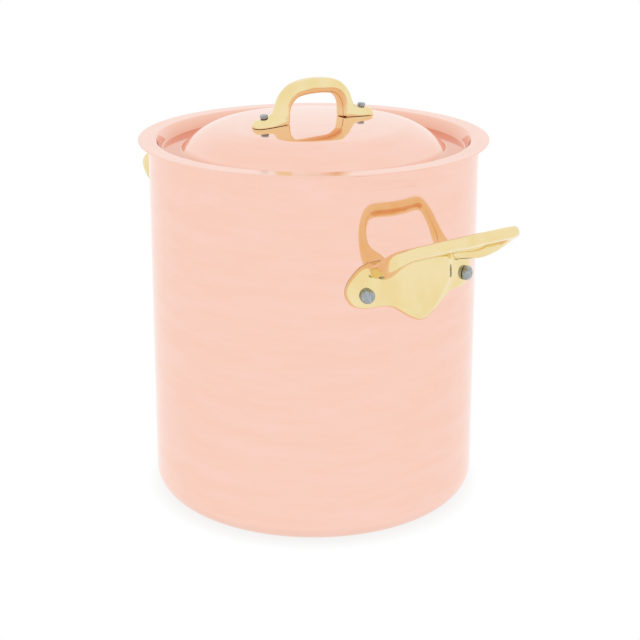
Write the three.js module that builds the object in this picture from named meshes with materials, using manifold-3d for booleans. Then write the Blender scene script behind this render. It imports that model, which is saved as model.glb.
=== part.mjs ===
import * as THREE from "three";
import { mergeVertices } from "three/addons/utils/BufferGeometryUtils.js";
import Module from "manifold-3d";

// A copper stockpot with a lift-off lid, cast brass handles and steel rivets.
// Lengths are in millimetres and +Z is up. The origin is on the table, under the pot's axis,
// and the two side handles lie along X.

// The pot: a copper wall with a thin steel lining.
const bodyRadius = 120;
const bodyHeight = 265;
const cornerRadius = 16;
const bodyCopper = 1.8;
const bodyLining = 0.6;
const lipFlare = 1;
const lipFlareStart = 12;
const lipEdge = 4;
const lipBend = 20;

// The lid: a flat flange that rests on the rim, a gutter that drops inside it, and a crown.
const lidCopper = 1;
const lidLining = 0.5;
const lidFit = 0.8;
const lidOverhang = 7.5;
const recessDepth = 8;
const recessTaper = 4;
const recessEdgeBend = 2.5;
const gutterWidth = 14.5;
const gutterBend = 2;
const crownRise = 12.3;
const crownBall = 830;
const crownWallRun = 17;
const crownFlatRadius = 34.2;

// Clearances between neighbours.
const layerGap = 0.3;
const seatGap = 0.3;
const rivetClearance = 0.3;
const overrun = 20;

// The side handles: a plate that hugs the wall, a raised shield and a rising loop. Their rivets
// sit a fixed drop below the rim, and at a share of the plate's half width.
const handleDrop = 81.5;
const rivetShare = 0.75;
const plateThickness = 5.5;
const plateHalfWidth = 56;
const plateHalfHeight = 24;
const shieldProud = 9.8;
const shieldHalfWidth = 24.3;
const shieldHalfHeight = 18.5;
const shieldBevel = 4.5;
const shieldBevelDepth = 5;
const loopRootRise = 14;
const loopReach = 50.5;
const loopRise = 28.3;
const loopHalfWidth = 46;
const loopDepth = 16;
const loopThickness = 10.8;
const loopTilt = THREE.MathUtils.degToRad(33);

// The lid handle: an arch on two feet. Its feet end inside the crown's edge, and its rivets sit
// inside the ends of the feet.
const lidHandleTurn = THREE.MathUtils.degToRad(86.6);
const lidHandleInset = 27.7;
const lidHandleRise = 22.6;
const lidHandleWidth = 13.5;
const lidHandleThickness = 11.5;
const lidRivetInset = 9.5;
const footThickness = 6;

// The rivets: a shank with a turned head outside and a low head inside.
const sideRivet = { shank: 3, head: 5.1, headHeight: 4.4, dome: 2.2, innerHead: 6.5, innerHeight: 1.6 };
const lidRivet = { shank: 2, head: 2.9, headHeight: 3, dome: 1.1, innerHead: 4.2, innerHeight: 1.2 };

// How finely round shapes are divided.
const spinSteps = 48;
const arcSag = 0.25;
const crownSteps = 4;
const ringSteps = 12;
const rivetSteps = 16;
const squarenessShare = 0.74;
const mergeDistance = 1e-3;

const copper = new THREE.MeshStandardMaterial({ color: 0xd98a63, roughness: 0.12, metalness: 1 });
const steel = new THREE.MeshStandardMaterial({ color: 0xb9bab8, roughness: 0.32, metalness: 1 });
const brass = new THREE.MeshStandardMaterial({ color: 0xd9b35c, roughness: 0.14, metalness: 1 });
const rivetSteel = new THREE.MeshStandardMaterial({ color: 0x8d9196, roughness: 0.28, metalness: 1 });

// Sizes that follow from the ones above.
const liningRadius = bodyRadius - bodyCopper - layerGap - bodyLining;
const lidThickness = lidCopper + layerGap + lidLining;
const flangeTop = bodyHeight + seatGap + lidThickness;
const flangeRadius = bodyRadius + lidOverhang;
const recessRadius = liningRadius - lidFit - lidThickness;
const gutterRadius = recessRadius - recessTaper;
const crownFootRadius = gutterRadius - gutterWidth;
const crownRadius = crownFootRadius - crownWallRun;
const crownShoulderBend = crownRadius - crownFlatRadius;
const crownCentre = flangeTop + crownRise - crownBall;
const rivetHeight = bodyHeight - handleDrop;
const rivetOffset = rivetShare * plateHalfWidth;
const lidHandleReach = crownRadius - lidHandleInset;
const lidRivetOffset = lidHandleReach - lidRivetInset;

const wasm = await Module();
wasm.setup();

// A closed geometry as a solid that can be joined and cut.
function solidOf(geometry) {
  const bare = geometry.clone();
  bare.deleteAttribute("normal");
  bare.deleteAttribute("uv");
  const merged = mergeVertices(bare, mergeDistance);
  return new wasm.Manifold(
    new wasm.Mesh({
      numProp: 3,
      vertProperties: merged.attributes.position.array,
      triVerts: new Uint32Array(merged.index.array),
    }),
  );
}

// A solid back as a geometry.
function geometryOf(solid) {
  const mesh = solid.getMesh();
  const geometry = new THREE.BufferGeometry();
  geometry.setAttribute("position", new THREE.BufferAttribute(mesh.vertProperties, 3));
  geometry.setIndex(new THREE.BufferAttribute(mesh.triVerts, 1));
  geometry.computeVertexNormals();
  return geometry;
}

// A line through corners [x, y, bend], where each corner with a bend is rounded by that radius.
function roundedLine(corners) {
  const at = corners.map(([x, y]) => new THREE.Vector2(x, y));
  return corners.flatMap(([, , bend = 0], i) => {
    if (!bend) return [at[i]];
    const before = at[i - 1].clone().sub(at[i]).normalize();
    const after = at[i + 1].clone().sub(at[i]).normalize();
    const half = before.angleTo(after) / 2;
    const middle = before.clone().add(after).normalize();
    const centre = at[i].clone().addScaledVector(middle, bend / Math.sin(half));
    const start = at[i].clone().addScaledVector(before, bend / Math.tan(half)).sub(centre);
    const end = at[i].clone().addScaledVector(after, bend / Math.tan(half)).sub(centre);
    const turn = Math.atan2(start.cross(end), start.dot(end));
    const steps = Math.max(2, Math.ceil(Math.abs(turn) / (2 * Math.acos(1 - arcSag / bend))));
    return Array.from({ length: steps + 1 }, (_, k) =>
      start.clone().rotateAround(new THREE.Vector2(), (turn * k) / steps).add(centre),
    );
  });
}

// The same line moved to its left by a distance. It starts level, on the axis.
function offsetLine(line, distance) {
  return line.map((point, i) => {
    const before = i ? line[i - 1] : new THREE.Vector2(-line[1].x, line[1].y);
    const arriving = point.clone().sub(before).normalize();
    const leaving = i < line.length - 1 ? line[i + 1].clone().sub(point).normalize() : arriving;
    const along = arriving.clone().add(leaving).normalize();
    const left = new THREE.Vector2(-along.y, along.x);
    return point.clone().addScaledVector(left, distance / along.dot(arriving));
  });
}

// A closed profile spun round Z. The profile is given as [radius, height], lower or outer side first.
function spun(profile, steps = spinSteps) {
  return new THREE.LatheGeometry(profile, steps).rotateX(Math.PI / 2);
}

// A spun sheet of metal between two lines that both run out from the axis.
function spunSheet(lower, upper) {
  return spun([...lower, ...upper.toReversed()]);
}

// A solid round bar about Z between two heights.
function bar(radius, bottom, top, steps = spinSteps) {
  const corners = [[0, bottom], [radius, bottom], [radius, top], [0, top]];
  return spun(corners.map(([x, y]) => new THREE.Vector2(x, y)), steps);
}

// A closed skin through rings that hold the same number of points, with a fan over each end.
function skin(rings) {
  const count = rings[0].length;
  const points = rings.flat();
  const index = [];
  rings.slice(1).forEach((_, k) => {
    for (let j = 0; j < count; j++) {
      const a = k * count + j;
      const b = k * count + ((j + 1) % count);
      index.push(a, b, b + count, a, b + count, a + count);
    }
  });
  const last = (rings.length - 1) * count;
  for (let j = 1; j < count - 1; j++) {
    index.push(0, j + 1, j);
    index.push(last, last + j, last + j + 1);
  }
  return new THREE.BufferGeometry().setFromPoints(points).setIndex(index);
}

// A bar that follows a nearly flat path. Each station holds its centre, its half width across the
// path's plane and its half thickness in that plane. Its section is a rounded oblong, or an oval
// where its squareness is 1.
function planarBar(stations, across, squareness = squarenessShare) {
  const last = stations.length - 1;
  const rings = stations.map(({ centre, wide, thick }, i) => {
    const before = stations[Math.max(i - 1, 0)].centre;
    const after = stations[Math.min(i + 1, last)].centre;
    const outward = new THREE.Vector3().crossVectors(after.clone().sub(before), across).normalize();
    return Array.from({ length: ringSteps }, (_, k) => {
      const angle = (2 * Math.PI * k) / ringSteps;
      const w = Math.sign(Math.cos(angle)) * Math.abs(Math.cos(angle)) ** squareness;
      const t = Math.sign(Math.sin(angle)) * Math.abs(Math.sin(angle)) ** squareness;
      return centre.clone().addScaledVector(across, wide * w).addScaledVector(outward, thick * t);
    });
  });
  return skin(rings);
}

// One half of a symmetric row of stations, followed by its mirror image in the plane x = 0 or y = 0.
function mirrored(half, axis) {
  const other = half.slice(0, -1).map((station) => {
    const centre = station.centre.clone();
    centre[axis] *= -1;
    return { ...station, centre };
  });
  return [...half, ...other.toReversed()];
}

// How a rivet's head rounds over at its edge. Shares of its dome, inward and down.
const domeShares = [[0, 1], [0.3, 0.3], [1, 0]];

// A rivet about Z: its inner head ends at the height inside, and its outer head starts at outside.
function rivet(sizes, inside, outside) {
  const innerEdge = inside - sizes.innerHeight / 2;
  const headTop = outside + sizes.headHeight;
  const profile = [
    [0, inside - sizes.innerHeight],
    [sizes.innerHead / 2, inside - sizes.innerHeight],
    [sizes.innerHead, innerEdge],
    [sizes.innerHead, inside],
    [sizes.shank, inside],
    [sizes.shank, outside],
    [sizes.head, outside],
    ...domeShares.map(([inward, down]) => [sizes.head - inward * sizes.dome, headTop - down * sizes.dome]),
    [0, headTop],
  ];
  return spun(profile.map(([x, y]) => new THREE.Vector2(x, y)), rivetSteps);
}

const root = new THREE.Group();

function addMesh(name, geometry, material, parent = root) {
  const mesh = new THREE.Mesh(geometry, material);
  mesh.name = name;
  parent.add(mesh);
  return mesh;
}

// Side rivets: the angle of each from its handle's middle, and the radii where its heads bear.
const rivetAngle = Math.asin(rivetOffset / bodyRadius);
const flatOfFacets = Math.cos(Math.PI / spinSteps);
const sideInside = Math.sqrt((liningRadius * flatOfFacets) ** 2 - sideRivet.innerHead ** 2) - seatGap;
const sideOutside = bodyRadius + seatGap + plateThickness + seatGap;

// A geometry about Z laid along a radius at a height, at an angle from +X.
function radial(geometry, angle) {
  return geometry.rotateY(Math.PI / 2).rotateZ(angle).translate(0, 0, rivetHeight);
}

function sideRivetHole(angle) {
  const radius = sideRivet.shank + rivetClearance;
  return solidOf(radial(bar(radius, bodyRadius - overrun, bodyRadius + overrun, rivetSteps), angle));
}

const handleAngles = [0, Math.PI];
const rivetAngles = handleAngles.flatMap((middle) => [middle - rivetAngle, middle + rivetAngle]);

// Pot body: the outer line of the copper, from the axis out and up to the rim.
function bodySolids() {
  const outer = roundedLine([
    [0, 0],
    [bodyRadius, 0, cornerRadius],
    [bodyRadius, bodyHeight - lipFlareStart, lipBend],
    [bodyRadius + lipFlare, bodyHeight - lipEdge, lipBend],
    [bodyRadius + lipFlare, bodyHeight],
  ]);
  const copperInside = offsetLine(outer, bodyCopper);
  const liningOutside = offsetLine(outer, bodyCopper + layerGap);
  const liningInside = offsetLine(outer, bodyCopper + layerGap + bodyLining);
  const drill = (solid) => rivetAngles.reduce((left, angle) => left.subtract(sideRivetHole(angle)), solid);
  return {
    shell: drill(solidOf(spunSheet(outer, copperInside))),
    lining: drill(solidOf(spunSheet(liningOutside, liningInside))),
  };
}

// Lid rivets stand square to the crown.
const lidRivetTilt = Math.asin(lidRivetOffset / crownBall);
const lidInside = crownBall - lidThickness - seatGap - lidRivet.innerHead ** 2 / (2 * crownBall);
const lidOutside = crownBall + seatGap + footThickness + seatGap;

// A geometry whose heights are measured from the crown's centre, set on the lid at a side, -1 or 1.
function onCrown(geometry, side) {
  return geometry.rotateY(side * lidRivetTilt).translate(0, 0, crownCentre).rotateZ(lidHandleTurn);
}

function lidRivetHole(side) {
  const radius = lidRivet.shank + rivetClearance;
  return solidOf(onCrown(bar(radius, crownBall - overrun, crownBall + overrun, rivetSteps), side));
}

// The lid's upper face, from the axis out: crown, wall, gutter, recess and flange.
function lidLine() {
  const crownTurn = Math.asin(crownRadius / crownBall);
  const crown = Array.from({ length: crownSteps }, (_, k) => {
    const angle = (crownTurn * k) / crownSteps;
    return [crownBall * Math.sin(angle), crownCentre + crownBall * Math.cos(angle)];
  });
  return roundedLine([
    ...crown,
    [crownRadius, crownCentre + crownBall * Math.cos(crownTurn), crownShoulderBend],
    [crownFootRadius, flangeTop - recessDepth, gutterBend],
    [gutterRadius, flangeTop - recessDepth, gutterBend],
    [recessRadius, flangeTop, recessEdgeBend],
    [flangeRadius, flangeTop],
  ]);
}

function lidSolids() {
  const top = lidLine();
  const copperUnder = offsetLine(top, -lidCopper);
  const liningTop = offsetLine(top, -lidCopper - layerGap);
  const liningUnder = offsetLine(top, -lidThickness);
  const drill = (solid) => [-1, 1].reduce((left, side) => left.subtract(lidRivetHole(side)), solid);
  return {
    shell: drill(solidOf(spunSheet(copperUnder, top))),
    lining: drill(solidOf(spunSheet(liningUnder, liningTop))),
  };
}

// Outline of the plate of a side handle, from the tip of the shield to the right and over the ear.
// Shares of the plate's half width and half height.
const plateOutlineShares = [
  [0, -1], [0.12, -0.94], [0.28, -0.7], [0.44, -0.46], [0.58, -0.41], [0.77, -0.44], [0.91, -0.34],
  [0.98, -0.02], [0.96, 0.28], [0.89, 0.56], [0.79, 0.8], [0.69, 0.86], [0.6, 0.78], [0.48, 0.8], [0, 0.8],
];

// Outline of the shield's flat face. Shares of the shield's half width and half height.
const shieldOutlineShares = [[0, -1.06], [0.1, -1.02], [1, 0.03], [0.95, 0.92], [0.88, 1]];

// A closed shape from one half of an outline that starts and ends on the middle line.
function symmetricShape(shares, halfWidth, halfHeight) {
  const half = shares.map(([x, y]) => new THREE.Vector2(x * halfWidth, y * halfHeight));
  const other = half.filter(({ x }) => x > 0).map(({ x, y }) => new THREE.Vector2(-x, y));
  return new THREE.Shape([...half, ...other.toReversed()]);
}

// A shape extruded along +X, with its own x along Y and its own y along Z.
function extrudedAlongX(shape, start, end, options) {
  return new THREE.ExtrudeGeometry(shape, { depth: end - start, bevelEnabled: false, ...options })
    .translate(0, 0, start)
    .rotateX(Math.PI / 2)
    .rotateZ(Math.PI / 2);
}

// Stations of the loop, from inside the wall out to the middle of the grip: how far along, out and
// up its centre lies, then its half depth and half thickness. Shares of the loop's half width,
// reach, rise, depth and thickness.
const loopShares = [
  [0.74, -0.12, 0.1, 0.33, 0.9], [0.76, 0.03, 0.13, 0.34, 0.86], [0.81, 0.12, 0.18, 0.38, 0.7],
  [0.89, 0.24, 0.25, 0.42, 0.52], [0.95, 0.36, 0.36, 0.42, 0.44], [0.99, 0.5, 0.51, 0.39, 0.41],
  [1, 0.64, 0.68, 0.35, 0.41],
  [0.97, 0.79, 0.83, 0.3, 0.43], [0.9, 0.91, 0.93, 0.26, 0.46], [0.77, 0.98, 0.98, 0.25, 0.48],
  [0.59, 1, 1, 0.25, 0.49], [0.3, 1, 1, 0.25, 0.5], [0, 1, 1, 0.26, 0.5],
];

// One side handle about +X, spot-faced under its rivet heads and drilled.
function sideHandleSolid() {
  const face = bodyRadius + seatGap + plateThickness;
  const tall = plateHalfHeight + overrun;
  const wall = solidOf(bar(bodyRadius + seatGap, -tall - overrun, tall + overrun));
  const outside = solidOf(bar(face, -tall, tall));
  const plateShape = symmetricShape(plateOutlineShares, plateHalfWidth, plateHalfHeight);
  const plate = solidOf(extrudedAlongX(plateShape, overrun, face + overrun)).intersect(outside);
  const shieldFace = bodyRadius + shieldProud;
  const shieldShape = symmetricShape(shieldOutlineShares, shieldHalfWidth, shieldHalfHeight);
  const bevel = {
    bevelEnabled: true,
    bevelSize: shieldBevel,
    bevelThickness: shieldBevelDepth,
    bevelSegments: 2,
  };
  const shieldEnd = shieldFace - shieldBevelDepth;
  const shieldBack = bodyRadius - overrun;
  const shield = solidOf(extrudedAlongX(shieldShape, shieldBack, shieldEnd, bevel));
  const across = new THREE.Vector3(-Math.sin(loopTilt), 0, Math.cos(loopTilt));
  const half = loopShares.map(([along, out, up, wide, thick]) => ({
    centre: new THREE.Vector3(
      bodyRadius + out * loopReach,
      along * loopHalfWidth,
      loopRootRise + up * loopRise,
    ),
    wide: wide * loopDepth,
    thick: thick * loopThickness,
  }));
  const loop = solidOf(planarBar(mirrored(half, "y"), across));
  const casting = plate.add(shield).add(loop).subtract(wall);
  const placed = solidOf(geometryOf(casting).translate(0, 0, rivetHeight));
  return [-1, 1].reduce((left, end) => {
    const spot = bar(sideRivet.head + seatGap, face, face + overrun, rivetSteps);
    const cut = left.subtract(solidOf(radial(spot, end * rivetAngle)));
    return cut.subtract(sideRivetHole(end * rivetAngle));
  }, placed);
}

// Stations of a foot of the lid handle, from its tip in under the leg, and of the arch, from the
// crown up a leg to the middle. Shares of the handle's reach, rise, width and thickness; heights
// count from a foot's middle.
const footShares = [
  [0.99, -0.13, 0.16, 0.14], [0.97, -0.13, 0.34, 0.3], [0.93, -0.13, 0.47, 0.42], [0.84, -0.12, 0.54, 0.48],
  [0.73, -0.1, 0.56, 0.52], [0.62, -0.05, 0.55, 0.6], [0.5, 0, 0.5, 0.6],
];
const archShares = [
  [0.56, -0.06, 0.52, 0.56], [0.545, 0.18, 0.5, 0.5], [0.52, 0.38, 0.47, 0.44], [0.49, 0.56, 0.46, 0.45],
  [0.43, 0.74, 0.46, 0.46], [0.33, 0.9, 0.47, 0.47], [0.17, 0.98, 0.49, 0.49], [0, 1, 0.5, 0.5],
];

// The lid handle, cut to seat on the crown and spot-faced under its rivet heads.
function lidHandleSolid() {
  const footHeight = crownCentre + crownBall * Math.cos(lidRivetTilt) + seatGap + footThickness / 2;
  const across = new THREE.Vector3(0, 1, 0);
  const stationsOf = (shares) => shares.map(([along, up, wide, thick]) => ({
    centre: new THREE.Vector3(along * lidHandleReach, 0, footHeight + up * lidHandleRise),
    wide: wide * lidHandleWidth,
    thick: thick * lidHandleThickness,
  }));
  const foot = solidOf(planarBar(stationsOf(footShares), across, 1));
  const arch = solidOf(planarBar(mirrored(stationsOf(archShares), "x"), across));
  const halfTurn = solidOf(planarBar(stationsOf(footShares), across, 1).rotateZ(Math.PI));
  const casting = geometryOf(arch.add(foot).add(halfTurn)).rotateZ(lidHandleTurn);
  const floor = flangeTop - recessDepth;
  const below = [new THREE.Vector2(0, floor), new THREE.Vector2(crownRadius, floor)];
  const crown = solidOf(spunSheet(below, offsetLine(lidLine().slice(0, crownSteps), seatGap)));
  return [-1, 1].reduce((left, side) => {
    const seat = lidOutside - seatGap;
    const spot = bar(lidRivet.head + seatGap, seat, seat + overrun, rivetSteps);
    return left.subtract(solidOf(onCrown(spot, side))).subtract(lidRivetHole(side));
  }, solidOf(casting).subtract(crown));
}

const body = bodySolids();
addMesh("pot_shell", geometryOf(body.shell), copper);
addMesh("pot_lining", geometryOf(body.lining), steel);

const sideNames = ["right", "left"];
const sideHandle = geometryOf(sideHandleSolid());
sideNames.forEach((side, i) => {
  const group = new THREE.Group();
  group.rotation.z = handleAngles[i];
  root.add(group);
  addMesh("side_handle_" + side, sideHandle, brass, group);
  [-1, 1].forEach((end, k) => {
    const geometry = radial(rivet(sideRivet, sideInside, sideOutside), end * rivetAngle);
    addMesh("rivet_" + side + "_" + (k + 1), geometry, rivetSteel, group);
  });
});

const lid = lidSolids();
addMesh("lid_shell", geometryOf(lid.shell), copper);
addMesh("lid_lining", geometryOf(lid.lining), steel);
addMesh("lid_handle", geometryOf(lidHandleSolid()), brass);
[-1, 1].forEach((side, k) => {
  const geometry = onCrown(rivet(lidRivet, lidInside, lidOutside), side);
  addMesh("lid_rivet_" + (k + 1), geometry, rivetSteel);
});

export default root;
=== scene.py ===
import math
import bpy
import bmesh
from mathutils import Matrix, Vector


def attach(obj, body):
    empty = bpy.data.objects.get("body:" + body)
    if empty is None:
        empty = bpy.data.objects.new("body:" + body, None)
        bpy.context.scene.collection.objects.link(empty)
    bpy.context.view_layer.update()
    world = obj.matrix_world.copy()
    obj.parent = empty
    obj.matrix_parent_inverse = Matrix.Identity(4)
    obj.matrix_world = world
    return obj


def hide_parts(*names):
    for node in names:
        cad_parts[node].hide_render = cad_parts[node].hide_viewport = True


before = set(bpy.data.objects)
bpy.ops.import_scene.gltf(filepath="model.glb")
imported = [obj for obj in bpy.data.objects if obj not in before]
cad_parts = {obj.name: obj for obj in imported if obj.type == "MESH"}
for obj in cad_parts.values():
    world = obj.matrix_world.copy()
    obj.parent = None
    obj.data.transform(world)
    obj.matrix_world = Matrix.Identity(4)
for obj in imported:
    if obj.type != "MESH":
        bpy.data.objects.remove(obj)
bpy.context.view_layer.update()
print("frame loaded")

mm = 0.001


def addNode(tree, kind, inputs=None, **settings):
    node = tree.nodes.new(kind)
    for key, value in settings.items():
        setattr(node, key, value)
    for key, value in (inputs or {}).items():
        if isinstance(value, bpy.types.NodeSocket):
            tree.links.new(value, node.inputs[key])
        else:
            node.inputs[key].default_value = value
    return node


def addMath(tree, operation, first, second=0.0):
    return addNode(tree, "ShaderNodeMath", {0: first, 1: second}, operation=operation).outputs[0]


def spreadTo(tree, value, low, high, newLow, newHigh):
    return addNode(tree, "ShaderNodeMapRange", {
        "Value": value, "From Min": low, "From Max": high,
        "To Min": newLow, "To Max": newHigh}).outputs["Result"]


def mixColor(tree, factor, first, second):
    return addNode(tree, "ShaderNodeMix", {"Factor": factor, "A": first, "B": second},
                   data_type="RGBA").outputs["Result"]


def metalMaterial(name):
    material = bpy.data.materials.new(name)
    material.use_nodes = True
    tree = material.node_tree
    surface = tree.nodes["Principled BSDF"]
    surface.inputs["Metallic"].default_value = 1.0
    return material, tree, surface


def objectFrom(name, bm):
    mesh = bpy.data.meshes.new(name)
    bm.to_mesh(mesh)
    bm.free()
    piece = bpy.data.objects.new(name, mesh)
    bpy.context.scene.collection.objects.link(piece)
    return piece


def applyModifiers(piece):
    bpy.context.view_layer.update()
    seen = piece.evaluated_get(bpy.context.evaluated_depsgraph_get())
    mesh = bpy.data.meshes.new_from_object(seen)
    piece.modifiers.clear()
    old = piece.data
    piece.data = mesh
    bpy.data.meshes.remove(old)


def cutWith(piece, tool, operation="DIFFERENCE"):
    cut = piece.modifiers.new("cut", "BOOLEAN")
    cut.operation = operation
    cut.solver = "MANIFOLD"
    cut.object = tool
    applyModifiers(piece)
    bpy.data.objects.remove(tool)


def finishPiece(piece, body, material, nodes, sharpAngle=35):
    piece.data.materials.clear()
    piece.data.materials.append(material)
    piece.data.shade_smooth()
    piece.data.set_sharp_from_angle(angle=math.radians(sharpAngle))
    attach(piece, body)
    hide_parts(*nodes)


drawing = {
    "leastSteps": 4,
    "holdShare": 0.2,
    "holdMost": 0.8 * mm,
    "edgeSteps": 6,
    "mergeWithin": 1e-7,
}


# A line through corners (radius, height, bend), rounded where a corner has a bend. A point is held
# close to both ends of each arc, so that flats stay flat when shaded smooth.
def drawnLine(corners, stepDegrees=3):
    points = []
    for i, corner in enumerate(corners):
        here, bend = Vector(corner[:2]), corner[2] if len(corner) > 2 else 0
        if not bend:
            points.append(here)
            continue
        before = (Vector(corners[i - 1][:2]) - here).normalized()
        after = (Vector(corners[i + 1][:2]) - here).normalized()
        half = before.angle(after) / 2
        reach = bend / math.tan(half)
        centre = here + (before + after).normalized() * (bend / math.sin(half))
        start, end = here + before * reach - centre, here + after * reach - centre
        turn = math.atan2(start.x * end.y - start.y * end.x, start.dot(end))
        steps = max(drawing["leastSteps"], math.ceil(abs(math.degrees(turn)) / stepDegrees))
        hold = min(drawing["holdShare"] * bend, drawing["holdMost"])
        points.append(here + before * (reach + hold))
        points += [centre + Matrix.Rotation(turn * k / steps, 2) @ start for k in range(steps + 1)]
        points.append(here + after * (reach + hold))
    return points


# The same line moved to its left by a distance. It starts level, on the axis.
def movedLine(line, distance):
    moved = []
    for i, point in enumerate(line):
        before = line[i - 1] if i else Vector((-line[1].x, line[1].y))
        arriving = (point - before).normalized()
        leaving = (line[i + 1] - point).normalized() if i < len(line) - 1 else arriving
        along = (arriving + leaving).normalized()
        moved.append(point + Vector((-along.y, along.x)) * (distance / along.dot(arriving)))
    return moved


# Closes a sheet between its lower and upper line, with its free edge rounded.
def sheetProfile(lower, upper, edgeBend):
    outward = (lower[-1] - lower[-2]).normalized()
    across = (upper[-1] - lower[-1]).normalized()
    steps = drawing["edgeSteps"]
    quarter = [math.radians(90 / steps * k) for k in range(steps + 1)]
    edge = [lower[-1] - outward * (3 * edgeBend)]
    edge += [lower[-1] + outward * (edgeBend * (math.sin(a) - 1))
             + across * (edgeBend * (1 - math.cos(a))) for a in quarter]
    edge += [upper[-1] + outward * (edgeBend * (math.cos(a) - 1))
             - across * (edgeBend * (1 - math.sin(a))) for a in quarter]
    edge.append(upper[-1] - outward * (3 * edgeBend))
    return lower[:-1] + edge + upper[-2::-1]


# Spins a profile of (radius, height) once round Z.
def spinProfile(profile, steps):
    bm = bmesh.new()
    rail = [bm.verts.new((point[0], 0, point[1])) for point in profile]
    edges = [bm.edges.new(pair) for pair in zip(rail, rail[1:])]
    bmesh.ops.spin(bm, geom=rail + edges, cent=(0, 0, 0), axis=(0, 0, 1), dvec=(0, 0, 0),
                   angle=2 * math.pi, steps=steps, use_merge=True, use_duplicate=False)
    bmesh.ops.remove_doubles(bm, verts=bm.verts, dist=drawing["mergeWithin"])
    bmesh.ops.recalc_face_normals(bm, faces=bm.faces)
    return bm


tintRange = (0.35, 0.65)     # the noise over which a tint goes from one colour to the other
roughRange = (0.3, 0.7)      # the same for the roughness

copperLook = {
    "color": (0.955, 0.638, 0.538),
    "warmColor": (0.945, 0.612, 0.502),
    "roughness": (0.045, 0.085),
    "edgeRoughness": 0.1,
    "lineLength": 60 * mm,
    "lineSpacing": 0.7 * mm,
    "lineDepth": 0.0006 * mm,
    "bandLength": 45 * mm,
    "bandSpacing": 9 * mm,
    "waveLength": 75 * mm,
    "waveDepth": 0.03 * mm,
    # painted reflection: the lid's gutter is tinted deeper, standing in for copper mirrored in
    # copper
    "paintedGutterReflection": (0.79, 0.35, 0.225),
    "gutterReflection": (93 * mm, 98 * mm, 108 * mm, 116 * mm),    # distances from the axis
}


# The spinning lines run round the axis. They are spaced by height on a wall, and by the distance
# from the axis on a lid.
def grainNoise(tree, place, across, stretch, spacing, detail):
    x, y = addNode(tree, "ShaderNodeSeparateXYZ", {0: place}).outputs[:2]
    stretched = addNode(tree, "ShaderNodeCombineXYZ", {
        0: addMath(tree, "MULTIPLY", x, 1 / stretch),
        1: addMath(tree, "MULTIPLY", y, 1 / stretch),
        2: addMath(tree, "MULTIPLY", across, 1 / spacing)})
    return addNode(tree, "ShaderNodeTexNoise", {"Vector": stretched.outputs[0], "Scale": 1.0,
                                                "Detail": detail, "Roughness": 0.6}).outputs["Fac"]


# The polish is less fine from edgeStart to edgeEnd, where a wall or a lid meets its edge. A lid's
# gutter gets a painted reflection, a deeper copper tint standing in for copper mirrored in copper:
# this starts, is full, fades and ends at the four distances given in the look.
def spunMetal(name, look, banded, edgeStart, edgeEnd):
    material, tree, surface = metalMaterial(name)
    place = addNode(tree, "ShaderNodeTexCoord").outputs["Object"]
    x, y, z = addNode(tree, "ShaderNodeSeparateXYZ", {0: place}).outputs
    across = z
    if banded == "radius":
        across = addMath(tree, "SQRT", addMath(tree, "ADD", addMath(tree, "MULTIPLY", x, x),
                                               addMath(tree, "MULTIPLY", y, y)))
    fine = grainNoise(tree, place, across, look["lineLength"], look["lineSpacing"], 3.0)
    broad = grainNoise(tree, place, across, look["bandLength"], look["bandSpacing"], 2.0)
    wave = addNode(tree, "ShaderNodeTexNoise", {
        "Vector": place, "Scale": 1 / look["waveLength"],
        "Detail": 1.0, "Roughness": 0.4}).outputs["Fac"]
    tint = mixColor(tree, spreadTo(tree, broad, *tintRange, 0.0, 1.0),
                    (*look["color"], 1), (*look["warmColor"], 1))
    # Painted reflection: a deeper copper tint in the lid's gutter, where copper mirrors copper.
    if "paintedGutterReflection" in look and banded == "radius":
        start, full, fading, end = look["gutterReflection"]
        gutterReflection = addMath(tree, "MULTIPLY", spreadTo(tree, across, start, full, 0.0, 1.0),
                         spreadTo(tree, across, fading, end, 1.0, 0.0))
        tint = mixColor(tree, gutterReflection, tint, (*look["paintedGutterReflection"], 1))
    tree.links.new(tint, surface.inputs["Base Color"])
    low, high = look["roughness"]
    edge = spreadTo(tree, across, edgeStart, edgeEnd, 0.0, look["edgeRoughness"])
    tree.links.new(addMath(tree, "ADD", spreadTo(tree, fine, *roughRange, low, high), edge),
                   surface.inputs["Roughness"])
    waves = addNode(tree, "ShaderNodeBump", {
        "Height": wave, "Strength": 1.0, "Distance": look["waveDepth"]})
    lines = addNode(tree, "ShaderNodeBump", {
        "Height": fine, "Strength": 1.0, "Distance": look["lineDepth"], "Normal": waves.outputs[0]})
    tree.links.new(lines.outputs[0], surface.inputs["Normal"])
    return material


liningLook = {
    "color": (0.73, 0.73, 0.72),
    "warmColor": (0.68, 0.68, 0.67),
    "roughness": (0.24, 0.38),
    "edgeRoughness": 0.1,
    "lineLength": 60 * mm,
    "lineSpacing": 0.35 * mm,
    "lineDepth": 0.0025 * mm,
    "bandLength": 45 * mm,
    "bandSpacing": 9 * mm,
    "waveLength": 80 * mm,
    "waveDepth": 0.05 * mm,
}

brassLook = {
    "color": (0.88, 0.74, 0.42),
    "deepColor": (0.86, 0.69, 0.34),
    "roughness": (0.07, 0.13),
    "lumpLength": 17 * mm,
    "lumpDepth": 0.5 * mm,
    "polishLength": 2.2 * mm,
    "polishDepth": 0.0012 * mm,
    "pitLength": 0.9 * mm,
    "pitDepth": 0.012 * mm,
    "pitEdge": 0.16,
}


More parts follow.
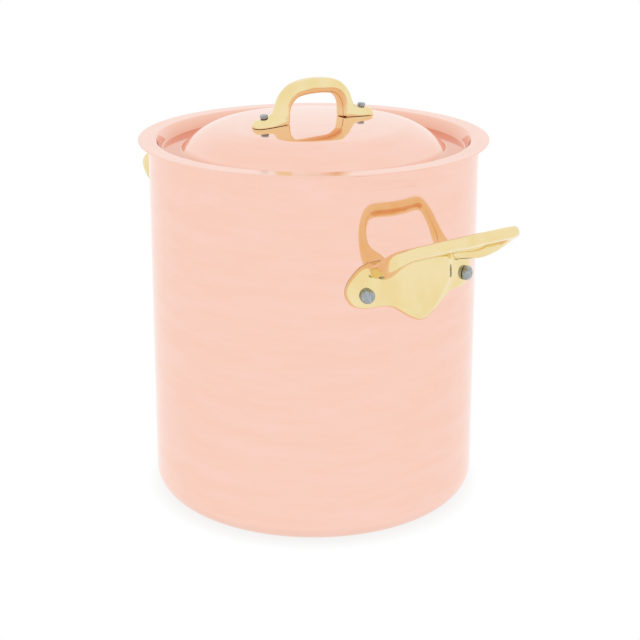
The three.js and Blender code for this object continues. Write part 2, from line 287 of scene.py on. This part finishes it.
def castBrass(look):
    material, tree, surface = metalMaterial("castBrass")
    place = addNode(tree, "ShaderNodeTexCoord").outputs["Object"]
    lumps = addNode(tree, "ShaderNodeTexNoise", {
        "Vector": place, "Scale": 1 / look["lumpLength"],
        "Detail": 1.0, "Roughness": 0.4}).outputs["Fac"]
    polish = addNode(tree, "ShaderNodeTexNoise", {
        "Vector": place, "Scale": 1 / look["polishLength"],
        "Detail": 3.0, "Roughness": 0.6}).outputs["Fac"]
    pits = addNode(tree, "ShaderNodeTexVoronoi", {"Vector": place, "Scale": 1 / look["pitLength"]})
    hollow = spreadTo(tree, pits.outputs["Distance"], 0.0, look["pitEdge"], 0.0, 1.0)
    tint = mixColor(tree, spreadTo(tree, lumps, *tintRange, 0.0, 1.0),
                    (*look["color"], 1), (*look["deepColor"], 1))
    tree.links.new(tint, surface.inputs["Base Color"])
    low, high = look["roughness"]
    tree.links.new(spreadTo(tree, polish, *roughRange, low, high), surface.inputs["Roughness"])
    normal = None
    for height, depth in ((lumps, "lumpDepth"), (polish, "polishDepth"), (hollow, "pitDepth")):
        inputs = {"Height": height, "Strength": 1.0, "Distance": look[depth]}
        if normal:
            inputs["Normal"] = normal
        normal = addNode(tree, "ShaderNodeBump", inputs).outputs[0]
    tree.links.new(normal, surface.inputs["Normal"])
    return material


rivetLook = {
    "color": (0.42, 0.455, 0.48),
    "wornColor": (0.29, 0.315, 0.335),
    "roughness": (0.2, 0.34),
    "ringSpacing": 0.32 * mm,
    "ringDepth": 0.006 * mm,
    "wearScale": 700.0,
    "wearRange": (0.4, 0.7),
}


# The turning rings follow each rivet's own axis, so they read the distance stored on its mesh.
def turnedSteel(look):
    material, tree, surface = metalMaterial("turnedSteel")
    distance = addNode(tree, "ShaderNodeAttribute", attribute_name="turning").outputs["Fac"]
    place = addNode(tree, "ShaderNodeTexCoord").outputs["Object"]
    rings = addNode(tree, "ShaderNodeTexNoise", {
        "W": addMath(tree, "MULTIPLY", distance, 1 / look["ringSpacing"]),
        "Scale": 1.0, "Detail": 2.0}, noise_dimensions="1D").outputs["Fac"]
    wear = addNode(tree, "ShaderNodeTexNoise", {
        "Vector": place, "Scale": look["wearScale"], "Detail": 3.0}).outputs["Fac"]
    tint = mixColor(tree, spreadTo(tree, wear, *look["wearRange"], 0.0, 1.0),
                    (*look["color"], 1), (*look["wornColor"], 1))
    tree.links.new(tint, surface.inputs["Base Color"])
    low, high = look["roughness"]
    tree.links.new(spreadTo(tree, wear, *roughRange, low, high), surface.inputs["Roughness"])
    bump = addNode(tree, "ShaderNodeBump", {
        "Height": rings, "Strength": 1.0, "Distance": look["ringDepth"]})
    tree.links.new(bump.outputs[0], surface.inputs["Normal"])
    return material


wallEdge = (246 * mm, 262 * mm)      # heights
lidEdge = (112 * mm, 118 * mm)       # distances from the axis
wallCopper = spunMetal("wallCopper", copperLook, "height", *wallEdge)
lidCopper = spunMetal("lidCopper", copperLook, "radius", *lidEdge)
wallSteel = spunMetal("wallSteel", liningLook, "height", *wallEdge)
lidSteel = spunMetal("lidSteel", liningLook, "radius", *lidEdge)
brass = castBrass(brassLook)
rivetSteel = turnedSteel(rivetLook)
print("materials made")


pot = {
    "radius": 120 * mm,
    "height": 265 * mm,
    "cornerBend": 16 * mm,
    "copper": 1.8 * mm,
    "lining": 0.6 * mm,
    "gap": 0.3 * mm,
    "lipFlare": 0.5 * mm,
    "lipStart": 12 * mm,
    "lipEdge": 4 * mm,
    "lipBend": 20 * mm,
    "edgeBend": 0.25 * mm,
    "steps": 288,
}


def potLine():
    lip = pot["radius"] + pot["lipFlare"]
    return drawnLine([
        (0, 0),
        (pot["radius"], 0, pot["cornerBend"]),
        (pot["radius"], pot["height"] - pot["lipStart"], pot["lipBend"]),
        (lip, pot["height"] - pot["lipEdge"], pot["lipBend"]),
        (lip, pot["height"])])


outside = potLine()
inside = movedLine(outside, pot["copper"])
potShell = objectFrom("potShell", spinProfile(sheetProfile(outside, inside, pot["edgeBend"]),
                                              pot["steps"]))
finishPiece(potShell, "pot", wallCopper, ["pot_shell"])

liningOut = movedLine(outside, pot["copper"] + pot["gap"])
liningIn = movedLine(outside, pot["copper"] + pot["gap"] + pot["lining"])
potLining = objectFrom("potLining", spinProfile(sheetProfile(liningOut, liningIn, pot["edgeBend"]),
                                                pot["steps"]))
finishPiece(potLining, "pot", wallSteel, ["pot_lining"])
print("pot spun")


lid = {
    "copper": 1 * mm,
    "lining": 0.5 * mm,
    "liningInset": 3 * mm,
    "gap": 0.3 * mm,
    "flangeTop": 267.1 * mm,
    "flangeRadius": 127.5 * mm,
    "recessRadius": 114.7 * mm,
    "recessBend": 2.5 * mm,
    "recessDepth": 8 * mm,
    "gutterRadius": 110.7 * mm,
    "gutterBend": 2 * mm,
    "crownFoot": 96.2 * mm,
    "crownRadius": 79.2 * mm,
    "crownRise": 12.3 * mm,
    "crownBall": 830 * mm,
    "crownParts": 12,        # of the crown's radius
    "crownPoints": 9,        # drawn of them, up to where the shoulder bends
    "shoulderBend": 45 * mm,
    "edgeBend": 0.24 * mm,
    "liningEdgeBend": 0.12 * mm,
    "steps": 288,
}
crownCentre = lid["flangeTop"] + lid["crownRise"] - lid["crownBall"]


def crownHeight(radius, offset=0.0):
    return crownCentre + math.sqrt((lid["crownBall"] + offset) ** 2 - radius ** 2)


def lidLine():
    gutter = lid["flangeTop"] - lid["recessDepth"]
    radii = [lid["crownRadius"] * k / lid["crownParts"] for k in range(lid["crownPoints"])]
    crown = [(radius, crownHeight(radius)) for radius in radii]
    return drawnLine(crown + [
        (lid["crownRadius"], crownHeight(lid["crownRadius"]), lid["shoulderBend"]),
        (lid["crownFoot"], gutter, lid["gutterBend"]),
        (lid["gutterRadius"], gutter, lid["gutterBend"]),
        (lid["recessRadius"], lid["flangeTop"], lid["recessBend"]),
        (lid["flangeRadius"], lid["flangeTop"])])


lidTop = lidLine()
lidUnder = movedLine(lidTop, -lid["copper"])
lidShell = objectFrom("lidShell", spinProfile(sheetProfile(lidUnder, lidTop, lid["edgeBend"]),
                                              lid["steps"]))
finishPiece(lidShell, "lid", lidCopper, ["lid_shell"])

liningLine = lidTop[:-1] + [lidTop[-1] - Vector((lid["liningInset"], 0))]
lidLiningTop = movedLine(liningLine, -lid["copper"] - lid["gap"])
lidLiningUnder = movedLine(liningLine, -lid["copper"] - lid["gap"] - lid["lining"])
lidLining = objectFrom("lidLining", spinProfile(
    sheetProfile(lidLiningUnder, lidLiningTop, lid["liningEdgeBend"]), lid["steps"]))
finishPiece(lidLining, "lid", lidSteel, ["lid_lining"])
print("lid spun")


casting = {
    "voxel": 0.6 * mm,
    "smoothing": 10,
    "softness": 0.5,
    "outlineSteps": 4,
    "barSteps": 3,
    "ringPoints": 28,
    "squareness": 0.74,
}


# A smooth row of numbers through the given rows.
def smoothRows(rows, steps):
    filled = []
    for i in range(len(rows) - 1):
        a, b = Vector(rows[i]), Vector(rows[i + 1])
        before = Vector(rows[i - 1]) if i else a * 2 - b
        after = Vector(rows[i + 2]) if i + 2 < len(rows) else b * 2 - a
        for k in range(steps):
            t = k / steps
            filled.append(0.5 * (2 * a + (b - before) * t
                                 + (2 * before - 5 * a + 4 * b - after) * t ** 2
                                 + (3 * a - before - 3 * b + after) * t ** 3))
    return filled + [Vector(rows[-1])]


# A bar swept through stations of centre, half width along across, and half thickness.
def sweptBar(bm, stations, across, squareness=casting["squareness"]):
    rings = []
    last = len(stations) - 1
    for i, (centre, wide, thick) in enumerate(stations):
        along = stations[min(i + 1, last)][0] - stations[max(i - 1, 0)][0]
        outward = along.cross(across).normalized()
        ring = bmesh.ops.create_circle(bm, segments=casting["ringPoints"], radius=1)["verts"]
        for vert in ring:
            w, t = (math.copysign(abs(c) ** squareness, c) for c in vert.co.xy)
            vert.co = centre + across * (wide * w) + outward * (thick * t)
        edges = list({edge for vert in ring for edge in vert.link_edges})
        if rings:
            bmesh.ops.bridge_loops(bm, edges=rings[-1] + edges)
        rings.append(edges)
    for end in (rings[0], rings[-1]):
        bmesh.ops.contextual_create(bm, geom=end)


# A closed block through outlines of the same number of points.
def stackedBlock(bm, outlines):
    loops = []
    for outline in outlines:
        verts = [bm.verts.new(point) for point in outline]
        edges = [bm.edges.new((verts[i - 1], verts[i])) for i in range(len(verts))]
        if loops:
            bmesh.ops.bridge_loops(bm, edges=loops[-1] + edges)
        loops.append(edges)
    for end in (loops[0], loops[-1]):
        bmesh.ops.contextual_create(bm, geom=end)


# Joins what overlaps into one casting with soft inner corners.
def fuseCasting(piece, voxel, smoothing):
    remesh = piece.modifiers.new("fuse", "REMESH")
    remesh.mode = "VOXEL"
    remesh.voxel_size = voxel
    smooth = piece.modifiers.new("soften", "SMOOTH")
    smooth.factor = casting["softness"]
    smooth.iterations = smoothing
    applyModifiers(piece)


def wholeOutline(half):
    return half + [Vector((-p.x, p.y)) for p in half[::-1] if p.x > 1e-6]


# An outline grown outwards by a distance, no more than twice as far at a sharp corner.
def grownOutline(outline, distance, leastShare=0.5):
    grown = []
    count = len(outline)
    for i, point in enumerate(outline):
        arriving = (point - outline[i - 1]).normalized()
        leaving = (outline[(i + 1) % count] - point).normalized()
        along = (arriving + leaving).normalized()
        reach = distance / max(along.dot(arriving), leastShare)
        grown.append(point + Vector((along.y, -along.x)) * reach)
    return grown


sideHandle = {
    "rivetHeight": 183.5 * mm,
    "rivetOffset": 42 * mm,
    "wallGap": 0.3 * mm,
    "plate": 5.5 * mm,
    "plateHalfWidth": 56 * mm,
    "plateHalfHeight": 24 * mm,
    "shieldProud": 9.2 * mm,
    "shieldHalfWidth": 23.6 * mm,
    "shieldHalfHeight": 18.5 * mm,
    "shieldBow": 3.2 * mm,
    "bevel": 5.6 * mm,
    "bevelDepth": 6 * mm,
    "baseVoxel": 0.8 * mm,
    "baseSmoothing": 90,
    "shieldCuts": 7,
    "shieldBack": 112 * mm,
    "blank": (90 * mm, 140 * mm),
    "blankHeights": (150 * mm, 220 * mm),
    "wallHeights": (100 * mm, 280 * mm),
    "wallSteps": 360,
    "rootRise": 14 * mm,
    "reach": 50.5 * mm,
    "rise": 28.3 * mm,
    "halfWidth": 46 * mm,
    "depth": 16 * mm,
    "thickness": 10.8 * mm,
    "tilt": math.radians(33),
    "plateOutline": [
        (0, -1), (0.12, -0.94), (0.28, -0.7), (0.44, -0.46), (0.58, -0.41), (0.77, -0.44),
        (0.91, -0.34), (0.98, -0.02), (0.96, 0.28), (0.89, 0.56), (0.79, 0.8), (0.69, 0.86),
        (0.6, 0.78), (0.48, 0.8), (0, 0.8)],
    "shieldOutline": [(0, -1.06), (0.1, -1.02), (1, 0.03), (0.95, 0.92), (0.88, 1)],
    "loop": [
        (0.74, -0.12, 0.1, 0.33, 0.9), (0.76, 0.03, 0.13, 0.34, 0.86),
        (0.81, 0.12, 0.18, 0.38, 0.7), (0.89, 0.24, 0.25, 0.42, 0.52),
        (0.95, 0.36, 0.36, 0.42, 0.44), (0.99, 0.5, 0.51, 0.39, 0.41),
        (1, 0.64, 0.68, 0.35, 0.41), (0.97, 0.79, 0.83, 0.3, 0.43),
        (0.9, 0.91, 0.93, 0.26, 0.46), (0.77, 0.98, 0.98, 0.25, 0.48),
        (0.59, 1, 1, 0.25, 0.49), (0.3, 1, 1, 0.25, 0.5), (0, 1, 1, 0.26, 0.5)],
}


def onFront(outline, x):
    return [Vector((x, p.x, p.y + sideHandle["rivetHeight"])) for p in outline]


def sideHandlePlate():
    bm = bmesh.new()
    size = Vector((sideHandle["plateHalfWidth"], sideHandle["plateHalfHeight"]))
    rows = smoothRows(sideHandle["plateOutline"], casting["outlineSteps"])
    half = [Vector((p.x * size.x, p.y * size.y)) for p in rows]
    outline = wholeOutline(half)
    stackedBlock(bm, [onFront(outline, x) for x in sideHandle["blank"]])
    bmesh.ops.recalc_face_normals(bm, faces=bm.faces)
    plate = objectFrom("plate", bm)
    outer = pot["radius"] + sideHandle["wallGap"] + sideHandle["plate"]
    inner = outer - 3 * sideHandle["plate"]
    low, high = sideHandle["blankHeights"]
    ring = [(inner, low), (outer, low), (outer, high), (inner, high), (inner, low)]
    cutWith(plate, objectFrom("ring", spinProfile(ring, sideHandle["wallSteps"])), "INTERSECT")
    return plate


# The shield is bent round the wall like the plate.
def sideHandleShield():
    bm = bmesh.new()
    size = Vector((sideHandle["shieldHalfWidth"], sideHandle["shieldHalfHeight"]))
    face = wholeOutline([Vector((x * size.x, y * size.y)) for x, y in sideHandle["shieldOutline"]])
    foot = grownOutline(face, sideHandle["bevel"])
    front = pot["radius"] + sideHandle["shieldProud"]
    stackedBlock(bm, [onFront(foot, sideHandle["shieldBack"]),
                      onFront(foot, front - sideHandle["bevelDepth"]), onFront(face, front)])
    bmesh.ops.subdivide_edges(bm, edges=bm.edges, cuts=sideHandle["shieldCuts"], use_grid_fill=True)
    bmesh.ops.recalc_face_normals(bm, faces=bm.faces)
    for vert in bm.verts:
        vert.co.x -= sideHandle["shieldBow"] * (vert.co.y / size.x) ** 2
    return objectFrom("shield", bm)


def sideHandleCasting():
    plate, shield = sideHandlePlate(), sideHandleShield()
    bm = bmesh.new()
    bm.from_mesh(plate.data)
    bm.from_mesh(shield.data)
    bpy.data.objects.remove(plate)
    bpy.data.objects.remove(shield)
    base = objectFrom("base", bm)
    fuseCasting(base, sideHandle["baseVoxel"], sideHandle["baseSmoothing"])
    bm = bmesh.new()
    bm.from_mesh(base.data)
    bpy.data.objects.remove(base)
    across = Vector((-math.sin(sideHandle["tilt"]), 0, math.cos(sideHandle["tilt"])))
    stations = []
    for along, out, up, wide, thick in smoothRows(sideHandle["loop"], casting["barSteps"]):
        height = sideHandle["rivetHeight"] + sideHandle["rootRise"] + up * sideHandle["rise"]
        centre = Vector((pot["radius"] + out * sideHandle["reach"],
                         along * sideHandle["halfWidth"], height))
        stations.append((centre, wide * sideHandle["depth"], thick * sideHandle["thickness"]))
    mirrored = [(Vector((c.x, -c.y, c.z)), w, t) for c, w, t in stations[-2::-1]]
    sweptBar(bm, stations + mirrored, across)
    bmesh.ops.recalc_face_normals(bm, faces=bm.faces)
    handle = objectFrom("sideHandleRight", bm)
    fuseCasting(handle, casting["voxel"], casting["smoothing"])
    return handle


rivet = {
    "shank": 3 * mm, "head": 5.1 * mm, "headHeight": 4.4 * mm,
    "innerHead": 6.5 * mm, "innerHeight": 1.6 * mm, "bend": 0.35 * mm, "headBend": 3 * mm,
    "steps": 48, "sharpAngle": 25,
}
lidRivet = {
    "shank": 2 * mm, "head": 2.9 * mm, "headHeight": 2.2 * mm,
    "innerHead": 4.2 * mm, "innerHeight": 1.2 * mm, "bend": 0.25 * mm, "headBend": 1 * mm,
    "steps": 48, "sharpAngle": 25,
}
seatGap = 0.3 * mm
overrun = 20 * mm


def barAbout(radius, low, high, steps=rivet["steps"]):
    return spinProfile([(0, low), (radius, low), (radius, high), (0, high)], steps)


# Turns a mesh about Z to lie along a radius of the pot, at an angle from +X.
def layRadial(bm, angle):
    turn = Matrix.Rotation(angle, 4, "Z") @ Matrix.Rotation(math.radians(90), 4, "Y")
    bmesh.ops.transform(bm, verts=bm.verts,
                        matrix=Matrix.Translation((0, 0, sideHandle["rivetHeight"])) @ turn)
    return bm


# A flat seat for each rivet's head and a bore for its shank. A function lays them at either end.
def cutSeats(handle, sizes, face, lay):
    for end in (-1, 1):
        spot = barAbout(sizes["head"] + seatGap, face, face + overrun)
        cutWith(handle, objectFrom("spot", lay(spot, end)))
        bore = barAbout(sizes["shank"] + seatGap, face - overrun, face + overrun)
        cutWith(handle, objectFrom("bore", lay(bore, end)))


rivetAngle = math.asin(sideHandle["rivetOffset"] / pot["radius"])
plateFace = pot["radius"] + sideHandle["wallGap"] + sideHandle["plate"]
handleRight = sideHandleCasting()
wall = barAbout(pot["radius"] + sideHandle["wallGap"], *sideHandle["wallHeights"],
                sideHandle["wallSteps"])
cutWith(handleRight, objectFrom("wall", wall))
cutSeats(handleRight, rivet, plateFace, lambda bm, end: layRadial(bm, end * rivetAngle))

turned = bmesh.new()
turned.from_mesh(handleRight.data)
bmesh.ops.rotate(turned, verts=turned.verts, cent=(0, 0, 0),
                 matrix=Matrix.Rotation(math.pi, 3, "Z"))
handleLeft = objectFrom("sideHandleLeft", turned)
finishPiece(handleRight, "pot", brass, ["side_handle_right"])
finishPiece(handleLeft, "pot", brass, ["side_handle_left"])
print("side handles cast", len(handleRight.data.polygons))


lidHandle = {
    "turn": math.radians(86.6),
    "reach": 51.5 * mm,
    "rise": 22.6 * mm,
    "width": 13.5 * mm,
    "thickness": 11.5 * mm,
    "rivetOffset": 42 * mm,
    "footThickness": 6 * mm,
    "voxel": 0.4 * mm,
    "smoothing": 8,
    "foot": [
        (0.99, -0.13, 0.16, 0.14), (0.97, -0.13, 0.34, 0.3), (0.93, -0.13, 0.47, 0.42),
        (0.84, -0.12, 0.54, 0.48), (0.73, -0.1, 0.56, 0.52), (0.62, -0.05, 0.55, 0.6),
        (0.5, 0, 0.5, 0.6)],
    "arch": [
        (0.56, -0.06, 0.52, 0.56), (0.545, 0.18, 0.5, 0.5), (0.52, 0.38, 0.47, 0.44),
        (0.49, 0.56, 0.46, 0.45), (0.43, 0.74, 0.46, 0.46), (0.33, 0.9, 0.47, 0.47),
        (0.17, 0.98, 0.49, 0.49), (0, 1, 0.5, 0.5)],
}
lidRivetTilt = math.asin(lidHandle["rivetOffset"] / lid["crownBall"])
footHeight = (crownCentre + lid["crownBall"] * math.cos(lidRivetTilt) + seatGap
              + lidHandle["footThickness"] / 2)


def lidHandleStations(shares):
    return [(Vector((along * lidHandle["reach"], 0, footHeight + up * lidHandle["rise"])),
             wide * lidHandle["width"], thick * lidHandle["thickness"])
            for along, up, wide, thick in smoothRows(shares, casting["barSteps"])]


# Sets a mesh, whose heights count from the crown's centre, square to the crown at one side.
def setOnCrown(bm, side):
    turn = Matrix.Rotation(lidHandle["turn"], 4, "Z")
    tilt = Matrix.Rotation(side * lidRivetTilt, 4, "Y")
    bmesh.ops.transform(bm, verts=bm.verts,
                        matrix=turn @ Matrix.Translation((0, 0, crownCentre)) @ tilt)
    return bm


def lidHandleCasting():
    bm = bmesh.new()
    across = Vector((0, 1, 0))
    feet = lidHandleStations(lidHandle["foot"])
    arch = lidHandleStations(lidHandle["arch"])
    sweptBar(bm, feet, across, squareness=1)
    sweptBar(bm, [(Vector((-c.x, c.y, c.z)), w, t) for c, w, t in feet], across, squareness=1)
    sweptBar(bm, arch + [(Vector((-c.x, c.y, c.z)), w, t) for c, w, t in arch[-2::-1]], across)
    bmesh.ops.recalc_face_normals(bm, faces=bm.faces)
    bmesh.ops.rotate(bm, verts=bm.verts, cent=(0, 0, 0),
                     matrix=Matrix.Rotation(lidHandle["turn"], 3, "Z"))
    handle = objectFrom("lidHandle", bm)
    fuseCasting(handle, lidHandle["voxel"], lidHandle["smoothing"])
    return handle


# What the crown takes away under the handle, its radius and spacing in whole millimetres.
crownCut = {"foot": 250 * mm, "radius": 70, "spacing": 5, "steps": 256}
handleOnLid = lidHandleCasting()
crown = [(0, crownCut["foot"]), (crownCut["radius"] * mm, crownCut["foot"])]
crown += [(r * mm, crownHeight(r * mm, seatGap))
          for r in range(crownCut["radius"], -1, -crownCut["spacing"])]
cutWith(handleOnLid, objectFrom("crown", spinProfile(crown, crownCut["steps"])))
lidSeat = lid["crownBall"] + seatGap + lidHandle["footThickness"]
cutSeats(handleOnLid, lidRivet, lidSeat, setOnCrown)
finishPiece(handleOnLid, "lid", brass, ["lid_handle"])
print("lid handle cast", len(handleOnLid.data.polygons))


# A rivet about Z: its inner head ends at the height within, and its outer head starts at beyond.
def turnedRivet(sizes, within, beyond):
    bend = sizes["bend"]
    innerEdge = within - sizes["innerHeight"] / 2
    top = beyond + sizes["headHeight"]
    profile = drawnLine([
        (0, within - sizes["innerHeight"]),
        (sizes["innerHead"] / 2, within - sizes["innerHeight"], 2 * bend),
        (sizes["innerHead"], innerEdge, bend),
        (sizes["innerHead"], within),
        (sizes["shank"], within),
        (sizes["shank"], beyond),
        (sizes["head"], beyond),
        (sizes["head"], top, sizes["headBend"]),
        (0, top)], stepDegrees=8)
    bm = spinProfile(profile, sizes["steps"])
    distance = bm.verts.layers.float.new("turning")
    for vert in bm.verts:
        vert[distance] = vert.co.xy.length
    return bm


liningRadius = pot["radius"] - pot["copper"] - pot["gap"] - pot["lining"]
facet = math.cos(math.pi / rivet["steps"])
sideInside = math.sqrt((liningRadius * facet) ** 2 - rivet["innerHead"] ** 2) - seatGap
for name, middle in (("Right", 0.0), ("Left", math.pi)):
    for number, end in enumerate((-1, 1), 1):
        bm = turnedRivet(rivet, sideInside, plateFace + seatGap)
        piece = objectFrom(f"rivet{name}{number}", layRadial(bm, middle + end * rivetAngle))
        finishPiece(piece, "pot", rivetSteel,
                    [f"rivet_{name.lower()}_{number}"], rivet["sharpAngle"])

lidThickness = lid["copper"] + lid["gap"] + lid["lining"]
headSag = lidRivet["innerHead"] ** 2 / (2 * lid["crownBall"])
lidInside = lid["crownBall"] - lidThickness - seatGap - headSag
for number, side in enumerate((-1, 1), 1):
    bm = setOnCrown(turnedRivet(lidRivet, lidInside, lidSeat + seatGap), side)
    piece = objectFrom(f"lidRivet{number}", bm)
    finishPiece(piece, "lid", rivetSteel, [f"lid_rivet_{number}"],
                lidRivet["sharpAngle"])
print("rivets set")


# Plain white light. The metal mirrors the same white background that the camera sees.
studio = {
    "light": (1.0, 1.0, 1.0),
    "background": (1.0, 1.0, 1.0),
}


world = bpy.data.worlds.new("studio")
bpy.context.scene.world = world
world.use_nodes = True
sky = world.node_tree
sky.nodes.clear()
rays = addNode(sky, "ShaderNodeLightPath").outputs
shown = rays["Is Camera Ray"]
for kind in ("Is Glossy Ray", "Is Transmission Ray"):
    shown = addMath(sky, "MAXIMUM", shown, rays[kind])
seen = mixColor(sky, shown, (*studio["light"], 1), (*studio["background"], 1))
background = addNode(sky, "ShaderNodeBackground", {"Color": seen, "Strength": 1.0})
addNode(sky, "ShaderNodeOutputWorld", {"Surface": background.outputs[0]})

# The floor is white to the camera and in the metal, with a faint shade where the pot stands.
floorLook = {
    "size": 6.0,
    "squares": 8,
    "color": (1.0, 1.0, 1.0),
    "shade": (0.90, 0.88, 0.87),
    "shadeReach": 12 * mm,
    "shadeSamples": 16,
}
bm = bmesh.new()
bmesh.ops.create_grid(bm, x_segments=floorLook["squares"], y_segments=floorLook["squares"],
                      size=floorLook["size"] / 2)
floor = objectFrom("floor", bm)
floorPaint = bpy.data.materials.new("floorPaint")
floorPaint.use_nodes = True
paint = floorPaint.node_tree
paint.nodes.clear()
closeness = addNode(paint, "ShaderNodeAmbientOcclusion", {"Distance": floorLook["shadeReach"]},
                    samples=floorLook["shadeSamples"])
tone = mixColor(paint, closeness.outputs["AO"], (*floorLook["shade"], 1), (*floorLook["color"], 1))
glow = addNode(paint, "ShaderNodeEmission", {"Color": tone, "Strength": 1.0})
addNode(paint, "ShaderNodeOutputMaterial", {"Surface": glow.outputs[0]})
floor.data.materials.append(floorPaint)

camera = {
    "place": (0.85695, -0.6434, 0.4943),
    "turn": (math.radians(74.99), 0, math.radians(53.1)),
    "lens": 84.33,
    "sensor": 36,
    "shift": (0.0099, -0.164),
}
lensData = bpy.data.cameras.new("camera")
lensData.sensor_width = camera["sensor"]
lensData.lens = camera["lens"]
lensData.shift_x, lensData.shift_y = camera["shift"]
viewer = bpy.data.objects.new("camera", lensData)
viewer.location = camera["place"]
viewer.rotation_euler = camera["turn"]
bpy.context.scene.collection.objects.link(viewer)
bpy.context.scene.camera = viewer
bpy.context.scene.view_settings.view_transform = "Standard"
print("studio ready")
